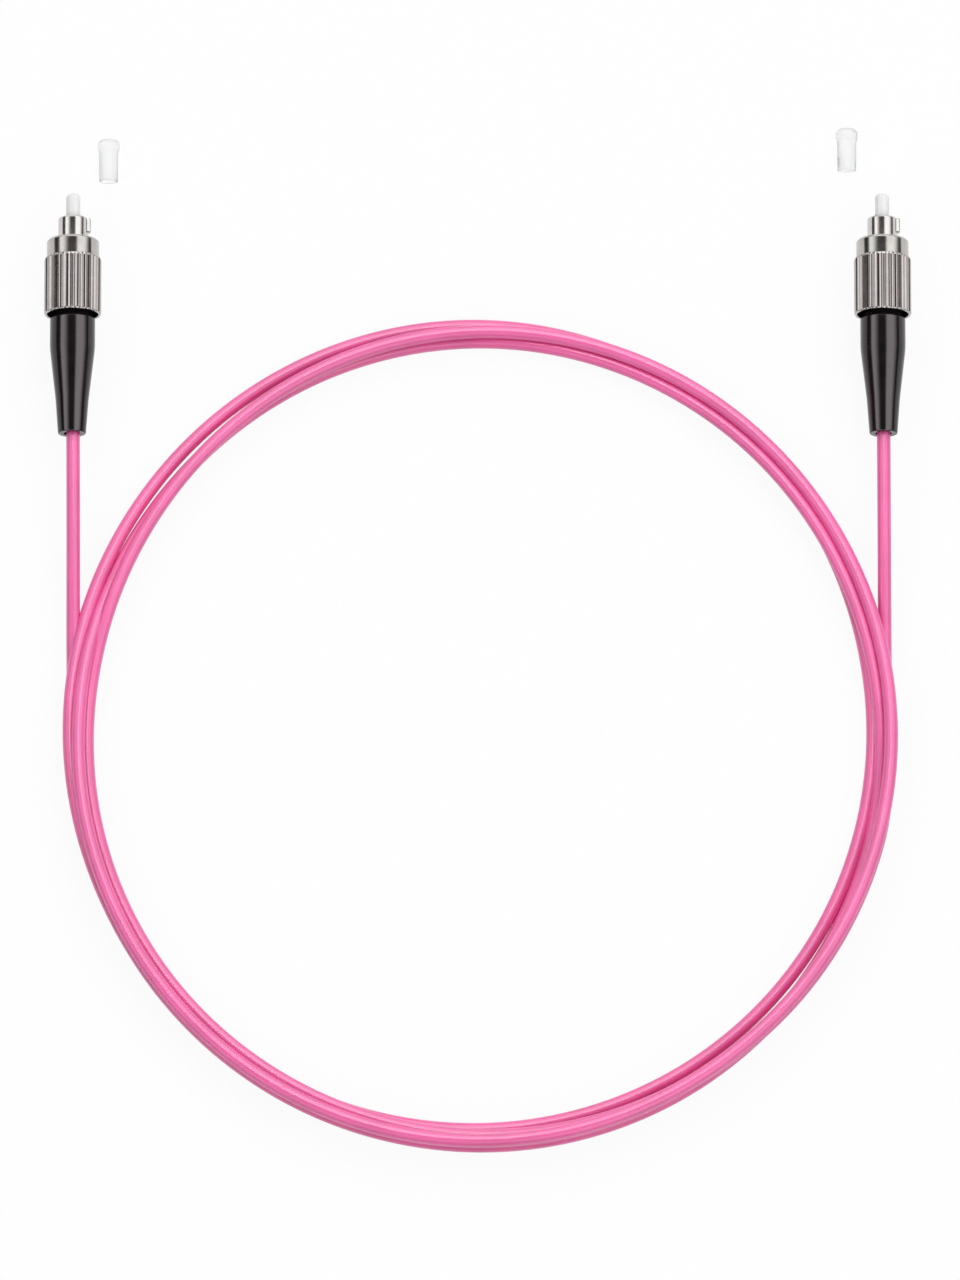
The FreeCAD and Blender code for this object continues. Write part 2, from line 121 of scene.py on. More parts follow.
class CordSettings(bpy.types.PropertyGroup):
    """The jacketed cord and the coil that it lies in."""

    diameter: length("Diameter", "Outside diameter of the jacket", 2.4)
    real_length: length("Real length", "Length of the cord from one connector to the other", 1717.0)
    ring_centre: on_floor("Coil centre", "Middle of the coil", 0.30, -81.59)
    ring_half_width: length("Half width", "Half of the coil's width, at the middle of its turns", 70.11)
    ring_half_depth: length("Half depth", "Half of the coil's depth, at the middle of its turns", 72.32)
    fullness: length("Fullness", "Bulge of the coil at its near corners, drawn in at its far ones", 0.33)
    first_shift: on_floor("First loop", "Shift of the loop that starts at the left", -1.26, 1.28)
    middle_shift: on_floor("Middle loop", "Shift of the middle loop", 0.08, -1.40)
    last_shift: on_floor("Last loop", "Shift of the loop that ends at the right", 1.58, -0.30)
    slack: length("Slack", "How far a turn may be pushed aside by the others", 0.15)
    jacket: colour("Jacket", "Colour of the jacket", 0.85, 0.105, 0.36)
    roughness: share("Roughness", "Roughness of the jacket", 0.36)


class ConnectorSettings(bpy.types.PropertyGroup):
    """The metal connectors, their boots and their caps."""

    knurl_ribs: IntProperty(name="Ribs", description="Ribs round the nut's knurl", default=40, min=3)
    knurl_depth: length("Knurl depth", "Depth of the flutes between the ribs", 0.15)
    thread_pitch: length("Thread pitch", "Pitch of the nut's inner thread", 0.75)
    thread_depth: length("Thread depth", "Depth of the nut's inner thread", 0.4)
    nickel: colour("Nickel", "Colour of the bright plating", 0.52, 0.497, 0.478)
    # flute is painted shade: a darker, warmer tint laid into the knurl's flutes, where shade falls
    # between the ribs
    flute: colour("Flute", "Colour of the plating deep in the flutes", 0.44, 0.365, 0.38)
    barrel: colour("Barrel", "Colour of the barrel's polished plating", 0.68, 0.655, 0.635)
    ceramic: colour("Ceramic", "Colour of the ferrule", 0.93, 0.93, 0.925)
    rubber: colour("Rubber", "Colour of the boot", 0.0035, 0.0027, 0.003)
    cap: colour("Cap", "Colour of the translucent cap", 0.97, 0.972, 0.975)
    yarn: colour("Yarn", "Colour of the strength yarn", 0.80, 0.62, 0.16)
    buffer: colour("Buffer", "Colour of the fibre's buffer", 0.85, 0.86, 0.84)
    spring: colour("Spring", "Colour of the spring's steel", 0.55, 0.55, 0.56)
    holder: colour("Holder", "Colour of the metal that holds the ferrule", 0.60, 0.58, 0.55)
    ring: colour("Ring", "Colour of the ring that keeps the nut on", 0.58, 0.57, 0.55)
    crimp: colour("Crimp", "Colour of the crimped sleeve", 0.66, 0.60, 0.50)


class StageSettings(bpy.types.PropertyGroup):
    """Floor, lamps and camera."""

    elevation: angle("Elevation", "Camera's height above the horizon", 75.5)
    distance: length("Distance", "From the camera to the point that it looks at", 3000.0)
    lens: FloatProperty(name="Lens", description="Focal length of the camera", default=482.6,
                        unit="CAMERA")
    aim_x: length("Aim across", "How far to the right of the middle the camera looks", 0.4)
    aim_y: length("Aim", "How far in front of the origin the camera looks", 64.5)
    floor: colour("Floor", "Colour of the floor as it is seen", 0.96, 0.96, 0.96)
    bounce: colour("Bounce", "Colour of the floor in the light that it throws back", 0.6, 0.6, 0.6)
    lift: share("Lift", "How far the floor's shadows are lifted towards white", 0.92)
    glow: FloatProperty(name="Glow", description="Brightness of the soft boxes", default=1.45, min=0.0)


class PatchCordSettings(bpy.types.PropertyGroup):
    """Everything that a user may change."""

    cord: PointerProperty(type=CordSettings)
    connector: PointerProperty(type=ConnectorSettings)
    stage: PointerProperty(type=StageSettings)


# Shader tools

class Signal:
    """One socket of a node tree; arithmetic on it adds Math nodes."""

    def __init__(self, finish, socket):
        self.finish = finish
        self.socket = socket

    def math(self, operation, *values):
        return self.finish.node("ShaderNodeMath", {"operation": operation}, dict(enumerate(values)))

    def output(self, name):
        """Another output of the node that this socket belongs to."""
        return Signal(self.finish, self.socket.node.outputs[name])

    def __add__(self, other):
        return self.math("ADD", self, other)

    def __sub__(self, other):
        return self.math("SUBTRACT", self, other)

    def __rsub__(self, other):
        return self.math("SUBTRACT", other, self)

    def __mul__(self, other):
        return self.math("MULTIPLY", self, other)

    __radd__ = __add__
    __rmul__ = __mul__


class Finish:
    """A node tree under construction."""

    def __init__(self, tree):
        self.tree = tree
        tree.nodes.clear()

    def node(self, kind, settings=None, sockets=None, output=0):
        """Add a node, set it up, fill or link its sockets and return one of its outputs."""
        made = self.tree.nodes.new(kind)
        for name, setting in (settings or {}).items():
            setattr(made, name, setting)
        for name, value in (sockets or {}).items():
            if isinstance(value, Signal):
                self.tree.links.new(value.socket, made.inputs[name])
            else:
                made.inputs[name].default_value = value
        return Signal(self, made.outputs[output]) if made.outputs else None

    def on_piece(self):
        """Place on the piece, in metres."""
        return self.node("ShaderNodeTexCoord", output="Object")

    def mix(self, factor, first, second):
        """Colour between two colours."""
        return self.node("ShaderNodeMix", {"data_type": "RGBA"}, {0: factor, 6: first, 7: second},
                         output=2)

    def noise(self, where, scale, detail=2.0):
        """Cloudy value from nought to one."""
        return self.node("ShaderNodeTexNoise", {}, {"Vector": where, "Scale": scale, "Detail": detail})

    def between(self, value, low, high):
        """Value from nought to one as it goes from low to high, eased at both ends."""
        return self.node("ShaderNodeMapRange", {"interpolation_type": "SMOOTHSTEP"},
                         {"Value": value, "From Min": low, "From Max": high})

    def bump(self, height, strength, depth):
        """Normal of a surface with this relief, whose depth is in millimetres."""
        return self.node("ShaderNodeBump", {}, {"Strength": strength, "Distance": depth * MM,
                                                "Height": height})

    def seen_by(self, first, *others):
        """One for these kinds of rays and nought for the rest."""
        path = self.node("ShaderNodeLightPath", output=first)
        seen = path
        for ray in others:
            seen = seen.math("MAXIMUM", seen, path.output(ray))
        return seen


def new_finish(name):
    """Empty material and the tree that is built in it."""
    material = bpy.data.materials.new(name)
    material.use_nodes = True
    return material, Finish(material.node_tree)


def close_surface(finish, sockets):
    """Principled surface with these sockets, joined to the material's output."""
    shader = finish.node("ShaderNodeBsdfPrincipled", {}, sockets)
    finish.node("ShaderNodeOutputMaterial", {}, {"Surface": shader})


def solid(rgb, level=1.0):
    """Colour with its alpha, made darker or lighter by this level."""
    return (*(min(1.0, level * c) for c in rgb), 1.0)


# Cord

# how far a tail drifts to the right, and where it leaves the boot's level and meets the floor
TAIL_DRIFT = {"a": 0.35 * MM, "b": 0.05 * MM}
TAIL_LEVEL_Y = -41.0 * MM
TAIL_FLOOR_Y = -73.0 * MM

STEPS_A_TURN = 36
COIL_TURNS = 3.5
TAIL_STEPS = 2

# bearings in degrees: where the cord goes over to its next loop, and from where, in each turn,
# the two upper turns change places
MIDDLE_FROM, LAST_FROM = 564.0, 1024.0
FRONT_FROM = 215.0

# rounds of settling, the fall in a round as a share of the diameter, the pull back to the track,
# the stiffness, and the least distance that is divided by
ROUNDS, FALL, TETHER, STIFFNESS, LEAST_GAP = 600, 0.01, 0.06, 0.2, 1e-9


def connector_axis(side):
    """Middle of a connector in x and z."""
    low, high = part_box(f"ferrule_{side}")
    return (low.x + high.x) / 2, (low.z + high.z) / 2


def tail_points(side):
    """Points from inside the boot down to the floor beside the coil."""
    x, z = connector_axis(side)
    inside_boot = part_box(f"cord_tail_{side}")[1].y
    floor_z = bpy.context.scene.patch_cord.cord.diameter / 2
    run = x + TAIL_DRIFT[side]
    return [(x, inside_boot, z), (run, TAIL_LEVEL_Y, z), (run, TAIL_FLOOR_Y, floor_z)]


def loop_track(cord, bearing):
    """How far outside the ring each point would lie: each loop is the same ring, shifted."""
    degrees = np.degrees(bearing)
    first, middle, last = (np.array(v) for v in (cord.first_shift, cord.middle_shift, cord.last_shift))
    shifts = np.where((degrees < MIDDLE_FROM)[:, None], first,
                      np.where((degrees < LAST_FROM)[:, None], middle, last))
    track = shifts[:, 0] * np.cos(bearing) + shifts[:, 1] * np.sin(bearing)
    return track - 2 * math.sqrt(2) * cord.fullness * np.sin(bearing) * np.cos(bearing) ** 2


def loop_layer(bearing):
    """Layer that each point starts in, counted up from the floor."""
    degrees = np.degrees(bearing)
    turn = np.floor(degrees / 360.0)
    round_the_front = degrees % 360.0 > FRONT_FROM
    return turn + (round_the_front & (turn == 2)) - (round_the_front & (turn == 3))


def settle(cord, track, layer, on_tail):
    """Let the turns down on the floor and on each other; returns how far out and how high they lie."""
    wide = cord.diameter
    floor_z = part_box("cord_coil")[0].z + wide / 2
    across = track.copy()
    height = floor_z + layer * wide
    height[on_tail] = floor_z
    for _ in range(ROUNDS):
        height -= FALL * wide
        across += TETHER * (track - across)
        for values, rest in ((height, 0.0), (across, track)):
            bend = values - rest
            values[1:-1] += STIFFNESS * (bend[:-2] - 2 * bend[1:-1] + bend[2:])
        for lag in range(STEPS_A_TURN, len(track), STEPS_A_TURN):
            apart = np.stack([across[lag:] - across[:-lag], height[lag:] - height[:-lag]])
            gap = np.maximum(np.hypot(*apart), LEAST_GAP)
            push = apart / gap * np.maximum(0.0, wide - gap) / 2
            across[lag:] += push[0]
            across[:-lag] -= push[0]
            height[lag:] += push[1]
            height[:-lag] -= push[1]
        height = np.maximum(height, floor_z)
        across = np.clip(across, track - cord.slack, track + cord.slack)
        across[on_tail] = track[on_tail]
        height[on_tail] = floor_z
    return across, height


def coil_points(cord):
    """Points of the coil's turns, settled beside the ends of the two tails."""
    step = FULL_TURN / STEPS_A_TURN
    count = round(COIL_TURNS * STEPS_A_TURN) + 1
    index = np.arange(-TAIL_STEPS, count + TAIL_STEPS)
    bearing = math.pi + step * index
    centre = Vector(cord.ring_centre)
    track = loop_track(cord, bearing)
    tails = (index < 0, index >= count)
    for side, here in zip(SIDES, tails):
        reach = abs(connector_axis(side)[0] - centre.x)
        track[here] = reach / np.abs(np.cos(bearing[here])) - cord.ring_half_width
    across, height = settle(cord, track, loop_layer(bearing), tails[0] | tails[1])
    # a spline of order 3 runs inside the circle of its points by this share
    drawn_in = 0.75 + 0.25 * math.cos(step)
    x = centre.x + (cord.ring_half_width + across) / drawn_in * np.cos(bearing)
    y = centre.y + (cord.ring_half_depth + across) / drawn_in * np.sin(bearing)
    keep = (index > 0) & (index < count - 1)
    return [tuple(p) for p in np.stack([x, y, height], axis=1)[keep].tolist()]


def jacket_finish(cord):
    """Softly glossy extruded jacket, a little uneven in tint and grain."""
    material, finish = new_finish("cord_jacket_finish")
    where = finish.on_piece()
    cloud = finish.noise(where, scale=90.0)
    grain = finish.noise(where, scale=2600.0, detail=3.0)
    patches = finish.between(cloud, 0.35, 0.65)
    close_surface(finish, {
        "Base Color": finish.mix(patches, solid(cord.jacket, level=0.90), solid(cord.jacket)),
        "Roughness": cord.roughness - 0.06 + 0.12 * grain,
        "IOR": 1.55,
        "Specular IOR Level": 0.9,
        "Coat Weight": 0.45,
        "Coat Roughness": 0.30,
        "Normal": finish.bump(grain, strength=0.12, depth=0.05),
    })
    return material


class PATCHCORD_OT_cord(bpy.types.Operator):
    """Lay the cord from one boot, round its coil and into the other boot"""

    bl_idname = "patchcord.cord"
    bl_label = "Cord"

    def execute(self, context):
        cord = context.scene.patch_cord.cord
        route = tail_points("a") + coil_points(cord) + tail_points("b")[::-1]
        curve = bpy.data.curves.new("cord", "CURVE")
        curve.dimensions = "3D"
        spline = curve.splines.new("NURBS")
        spline.points.add(len(route) - 1)
        for point, place in zip(spline.points, route):
            point.co = (*place, 1.0)
        spline.order_u = 3
        spline.use_endpoint_u = True
        spline.use_smooth = True
        curve.resolution_u = 6
        curve.bevel_depth = cord.diameter / 2
        curve.bevel_resolution = 6
        curve.use_fill_caps = True
        curve.materials.append(jacket_finish(cord))
        piece = bpy.data.objects.new("cord", curve)
        context.scene.collection.objects.link(piece)
        bpy.data.collections[CORD_LAMP].objects.link(piece)
        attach(piece, "root")
        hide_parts("cord_tail_a", "cord_tail_b", "cord_coil")
        return {"FINISHED"}


# Stage

FLOOR_HALF = 6.0
SENSOR_HEIGHT = 36.0
DIM_ROOM = (0.05, 0.05, 0.05, 1.0)

# point on the floor, in metres, that the lamps hang round
LAMP_AIM_Y = -0.06

# long soft boxes: side, nearest and lowest edge and where they are at full strength,
# in degrees from overhead
SOFT_BOXES = {
    "left": {"across": -1, "nearest": 17.0, "lowest": 67.0, "full": (50.0, 56.0)},
    "right": {"across": 1, "nearest": 12.0, "lowest": 80.0, "full": (27.0, 48.0)},
}
SOFT_BOX_LENGTH = 8.0

# brightness of the lamps, all but the cord's as a share of the glow
BOOT_SHARE, BACK_SHARE, FRONT_SHARE = 1.6, 1.20, 0.55
CORD_GLOW = 9.0


def floor_finish(stage):
    """Pale floor that looks white and keeps a soft shadow."""
    material, finish = new_finish("pale_floor")
    seen = finish.seen_by("Is Camera Ray", "Is Glossy Ray", "Is Transmission Ray")
    tint = finish.mix(seen, solid(stage.bounce), solid(stage.floor))
    matt = finish.node("ShaderNodeBsdfDiffuse", {}, {"Color": tint})
    white = finish.node("ShaderNodeEmission", {}, {"Color": WHITE, "Strength": 1.0})
    both = finish.node("ShaderNodeMixShader", {}, {0: seen * stage.lift, 1: matt, 2: white})
    finish.node("ShaderNodeOutputMaterial", {}, {"Surface": both})
    return material


def studio_world():
    """World that shows as a white backdrop and lights the object as a dim room."""
    world = bpy.data.worlds.new("studio")
    world.use_nodes = True
    finish = Finish(world.node_tree)
    seen = finish.seen_by("Is Camera Ray", "Is Transmission Ray")
    shade = finish.mix(seen, DIM_ROOM, WHITE)
    glow = finish.node("ShaderNodeBackground", {}, {"Color": shade, "Strength": 1.0})
    finish.node("ShaderNodeOutputWorld", {}, {"Surface": glow})
    return world


def hang_lamp(name, glow, size, size_y):
    """Rectangular area lamp whose face shines at this brightness."""
    lamp = bpy.data.lights.new(name, "AREA")
    lamp.shape = "RECTANGLE"
    lamp.size = size
    lamp.size_y = size_y
    lamp.energy = glow * math.pi * size * size_y
    box = bpy.data.objects.new(name, lamp)
    bpy.context.scene.collection.objects.link(box)
    return box


def soft_box(name, glow, reach, across, nearest, lowest, full):
    """Long soft box beside the part, between two angles from overhead and full between two others."""
    lean = math.radians((nearest + lowest) / 2)
    wide = 2 * reach * math.tan(math.radians(lowest - nearest) / 2)
    box = hang_lamp(name, glow, wide, SOFT_BOX_LENGTH)
    box.location = (across * reach * math.sin(lean), LAMP_AIM_Y, reach * math.cos(lean))
    box.rotation_euler = (0.0, across * lean, 0.0)
    box.data.use_nodes = True
    finish = Finish(box.data.node_tree)
    face = finish.node("ShaderNodeNewGeometry", output="Parametric")
    place = finish.node("ShaderNodeSeparateXYZ", {}, {0: face}, output="X")
    if across < 0:
        place = 1 - place
    start, end = ((f - nearest) / (lowest - nearest) for f in full)
    level = finish.between(place, 0.0, start) * (1 - finish.between(place, end, 1.0))
    shine = finish.node("ShaderNodeEmission", {}, {"Strength": level})
    finish.node("ShaderNodeOutputLight", {}, {"Surface": shine})
    return box


def square_lamp(name, glow, side, reach, tilt):
    """Square lamp overhead, tilted by degrees towards the back, or below nought towards the front."""
    tilt = math.radians(tilt)
    box = hang_lamp(name, glow, side, side)
    box.location = (0.0, LAMP_AIM_Y + reach * math.sin(tilt), reach * math.cos(tilt))
    box.rotation_euler = (-tilt, 0.0, 0.0)
    return box


def hang_lamps(stage):
    """Soft boxes on four sides, and lamps for the boots alone and for the cord alone."""
    boots = bpy.data.collections.new(BOOT_LAMPS)
    for side, spread in SOFT_BOXES.items():
        soft_box(f"{side}_soft_box", stage.glow, reach=2.2, **spread)
        strip = soft_box(f"{side}_boot_lamp", BOOT_SHARE * stage.glow, reach=2.4, **spread)
        strip.light_linking.receiver_collection = boots
    square_lamp("back_soft_box", BACK_SHARE * stage.glow, side=2.0, reach=2.5, tilt=52.0)
    square_lamp("front_soft_box", FRONT_SHARE * stage.glow, side=2.0, reach=2.5, tilt=-45.0)
    over_cord = square_lamp(CORD_LAMP, CORD_GLOW, side=0.6, reach=2.2, tilt=20.0)
    over_cord.light_linking.receiver_collection = bpy.data.collections.new(CORD_LAMP)


def lay_floor(scene, stage):
    """Square floor round the origin."""
    corners = [(x * FLOOR_HALF, y * FLOOR_HALF, 0) for x, y in ((-1, -1), (1, -1), (1, 1), (-1, 1))]
    mesh = bpy.data.meshes.new("floor")
    mesh.from_pydata(corners, [], [(0, 1, 2, 3)])
    mesh.materials.append(floor_finish(stage))
    floor = bpy.data.objects.new("floor", mesh)
    scene.collection.objects.link(floor)


def set_camera(scene, stage):
    """Long lens in front of the coil, high above it."""
    data = bpy.data.cameras.new("camera")
    data.sensor_fit = "VERTICAL"
    data.sensor_height = SENSOR_HEIGHT
    data.lens = stage.lens
    camera = bpy.data.objects.new("camera", data)
    back = Vector((0.0, -math.cos(stage.elevation), math.sin(stage.elevation)))
    middle = (CAD_BOX[0].x + CAD_BOX[1].x) / 2
    camera.location = Vector((middle + stage.aim_x, -stage.aim_y, 0.0)) + back * stage.distance
    camera.rotation_euler = (math.pi / 2 - stage.elevation, 0.0, 0.0)
    scene.collection.objects.link(camera)
    scene.camera = camera


class PATCHCORD_OT_stage(bpy.types.Operator):
    """Set up the floor, the backdrop, the lamps and the camera"""

    bl_idname = "patchcord.stage"
    bl_label = "Stage"

    def execute(self, context):
        scene = context.scene
        stage = scene.patch_cord.stage
        scene.view_settings.view_transform = "Standard"
        scene.world = studio_world()
        hang_lamps(stage)
        lay_floor(scene, stage)
        set_camera(scene, stage)
        return {"FINISHED"}


# Meshes of turned pieces

# most that a rounding takes of the shorter side, and the distance in metres at which points are one
LONGEST_ROUNDING = 0.48
WELD = 1e-7


def rounded(corners, steps=5):
    """Closed outline of (radius, station) points from corners that each have a rounding."""
    outline = []
    for k, (radius, station, rounding) in enumerate(corners):
        corner = Vector((radius, station))
        if rounding == 0:
            outline.append(corner)
            continue
        back = Vector(corners[k - 1][:2]) - corner
        ahead = Vector(corners[(k + 1) % len(corners)][:2]) - corner
        reach = min(rounding / math.tan(back.angle(ahead) / 2),
                    LONGEST_ROUNDING * min(back.length, ahead.length))
        start = corner + back.normalized() * reach
        end = corner + ahead.normalized() * reach
        for step in range(steps + 1):
            s = step / steps
            outline.append(start * (1 - s) ** 2 + corner * 2 * s * (1 - s) + end * s ** 2)
    return outline


def points_about_axis(radius, station, around):
    """Points in metres at these radii and stations in millimetres, round the Y axis."""
    x, z = radius * np.cos(around), radius * np.sin(around)
    return np.stack([x, np.broadcast_to(station, x.shape), z], axis=2).reshape(-1, 3) * MM


def closed_mesh(points, faces):
    """Mesh whose meeting points are one and whose faces all point outwards."""
    mesh = bpy.data.meshes.new("look")
    mesh.from_pydata(points.tolist(), [], faces)
    shell = bmesh.new()
    shell.from_mesh(mesh)
    bmesh.ops.remove_doubles(shell, verts=shell.verts, dist=WELD)
    bmesh.ops.recalc_face_normals(shell, faces=shell.faces)
    shell.to_mesh(mesh)
    shell.free()
    return mesh


def turned(outline, segments, reshape=None):
    """Mesh of a closed outline in millimetres, turned about Y; reshape may change its radii."""
    around = FULL_TURN * np.arange(segments)[:, None] / segments
    radius, station = (np.array([p[i] for p in outline])[None, :] for i in (0, 1))
    if reshape is not None:
        radius = reshape(radius, station, around)
    count = len(outline)
    rows = np.arange(segments)[:, None] * count
    next_rows = np.roll(rows, -1, axis=0)
    here, there = np.arange(count)[None, :], np.roll(np.arange(count), -1)[None, :]
    faces = np.stack([rows + here, next_rows + here, next_rows + there, rows + there], axis=2)
    return closed_mesh(points_about_axis(radius, station, around), faces.reshape(-1, 4).tolist())


def wound(mean_radius, wire, stations, steps_a_turn, sides=12):
    """Mesh of a round wire wound about Y, whose middle passes these stations in millimetres."""
    count = len(stations)
    around = FULL_TURN * np.arange(count)[:, None] / steps_a_turn
    section = FULL_TURN * np.arange(sides)[None, :] / sides
    radius = mean_radius + wire / 2 * np.cos(section)
    points = points_about_axis(radius, stations[:, None] + wire / 2 * np.sin(section), around)
    rows = np.arange(count - 1)[:, None] * sides
    here, there = np.arange(sides)[None, :], np.roll(np.arange(sides), -1)[None, :]
    sleeve = np.stack([rows + here, rows + there, rows + sides + there, rows + sides + here], axis=2)
    end_faces = [list(range(sides)), list(range((count - 1) * sides, count * sides))]
    return closed_mesh(points, sleeve.reshape(-1, 4).tolist() + end_faces)


def add_piece(context, node, mesh, material, body="root", sharp=35.0, place=None):
    """Object for a mesh that stands for a CAD node, on its connector's axis if no place is given."""
    mesh.name = f"{node}_look"
    mesh.materials.append(material)
    mesh.shade_smooth()
    mesh.set_sharp_from_angle(angle=math.radians(sharp))
    piece = bpy.data.objects.new(f"{node}_look", mesh)
    x, z = connector_axis(node[-1])
    piece.location = (x, 0.0, z) if place is None else place
    context.scene.collection.objects.link(piece)
    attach(piece, body)
    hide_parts(node)
    return piece


# Finishes

# steps of a rib round the nut: one for its crest, one for its flute, the rest for its flanks
RIB_STEPS = 6
RIB_PHASE = 0.5 / RIB_STEPS

# where the painted shade in the flutes is full and where it has faded into the plain plating, from
# nought at a flute's middle to one at a crest's; how much rougher a flute is; and how soon in
# millimetres the knurl's look ends
FULL_SHADE_TO, NO_SHADE_FROM = 0.10, 0.55
FLUTE_ROUGHER = 0.10
KNURL_EDGE = 0.02


def metal_finish(name, tint, roughness=0.16, marks=0.04, flute=None, ribs=0, knurl_front=0.0):
    """Bright metal with turning marks; behind a station, painted shade may darken the flutes between the
    ribs.
    """
    material, finish = new_finish(name)
    where = finish.on_piece()
    x = finish.node("ShaderNodeSeparateXYZ", {}, {0: where}, output="X")
    y, z = x.output("Y"), x.output("Z")
    cloud = finish.noise(where, scale=500.0)
    lines = finish.node("ShaderNodeTexNoise", {"noise_dimensions": "1D"},
                        {"W": y, "Scale": 9000.0, "Detail": 3.0})
    base = finish.mix(finish.between(cloud, 0.3, 0.7), solid(tint, level=0.88), solid(tint))
    rough = roughness - 0.03 + 0.06 * cloud
    if flute is not None:
        bearing = x.math("ARCTAN2", z, x)
        phase = x.math("FRACT", bearing * (ribs / FULL_TURN) + (ribs + RIB_PHASE))
        from_flute = x.math("ABSOLUTE", 2 * phase - 1)
        smooth = finish.between(y, knurl_front * MM, (knurl_front + KNURL_EDGE) * MM)
        # painted shade: the flute colour darkens the flutes between the ribs, where shade falls; the
        # crests and the smooth front stay plain
        bright = x.math("MAXIMUM", smooth, finish.between(from_flute, FULL_SHADE_TO, NO_SHADE_FROM))
        base = finish.mix(bright, solid(flute), base)
        rough = rough + FLUTE_ROUGHER * (1 - bright)
    close_surface(finish, {
        "Base Color": base,
        "Metallic": 1.0,
        "Roughness": rough,
        "Normal": finish.bump(lines, strength=marks, depth=0.02),
    })
    return material


def ceramic_finish(connector):
    """White ground ceramic."""
    material, finish = new_finish("ferrule_ceramic_finish")
    grain = finish.noise(finish.on_piece(), scale=4000.0)
    close_surface(finish, {
        "Base Color": finish.mix(grain, solid(connector.ceramic, level=0.96), solid(connector.ceramic)),
        "Roughness": 0.22 + 0.06 * grain,
        "IOR": 1.6,
        "Normal": finish.bump(grain, strength=0.04, depth=0.01),
    })
    return material


def rubber_finish(connector):
    """Glossy black moulded rubber with a very fine grain."""
    material, finish = new_finish("boot_rubber_finish")
    where = finish.on_piece()
    cloud = finish.noise(where, scale=300.0)
    grain = finish.noise(where, scale=6000.0, detail=3.0)
    patches = finish.between(cloud, 0.35, 0.7)
    close_surface(finish, {
        "Base Color": finish.mix(patches, solid(connector.rubber), solid(connector.rubber, level=1.6)),
        "Roughness": 0.12 + 0.06 * grain,
        "IOR": 1.5,
        # painted reflection: the pink Specular Tint stands in for light thrown back onto the boot by the
        # pink cord
        "Specular Tint": (1.0, 0.90, 0.93, 1.0),
        "Normal": finish.bump(grain, strength=0.10, depth=0.02),
    })
    return material


def cap_finish(connector):
    """Translucent moulded plastic."""
    material, finish = new_finish("cap_plastic_finish")
    cloud = finish.noise(finish.on_piece(), scale=700.0)
    close_surface(finish, {
        "Base Color": finish.mix(cloud, solid(connector.cap, level=0.95), solid(connector.cap)),
        "Roughness": 0.50 + 0.10 * cloud,
        "IOR": 1.3,
        "Transmission Weight": 0.85,
        "Subsurface Weight": 0.5,
        "Subsurface Radius": (1.0, 1.0, 1.0),
        "Subsurface Scale": 1.0 * MM,
        "Normal": finish.bump(cloud, strength=0.05, depth=0.02),
    })
    return material


def fibre_finish(name, tint, across=4000.0):
    """Soft strand-like surface that runs along the connector."""
    material, finish = new_finish(name)
    long_way = finish.node("ShaderNodeMapping", {}, {"Vector": finish.on_piece(),
                                                     "Scale": (1.0, 0.06, 1.0)})
    strands = finish.noise(long_way, scale=across, detail=3.0)
    close_surface(finish, {
        "Base Color": finish.mix(strands, solid(tint, level=0.6), solid(tint)),
        "Roughness": 0.45 + 0.2 * strands,
        "Normal": finish.bump(strands, strength=0.3, depth=0.03),
    })
    return material


# Connector pieces: all sizes in millimetres, each corner as radius, station along Y and rounding

# stations in a pitch of the thread, and the share of half a pitch that is flat at crest and root
THREAD_STEPS = 8
THREAD_FLAT = 0.15


def ends(node):
    """Rear and front station of a CAD node in millimetres."""
    low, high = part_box(node)
    return low.y / MM, high.y / MM


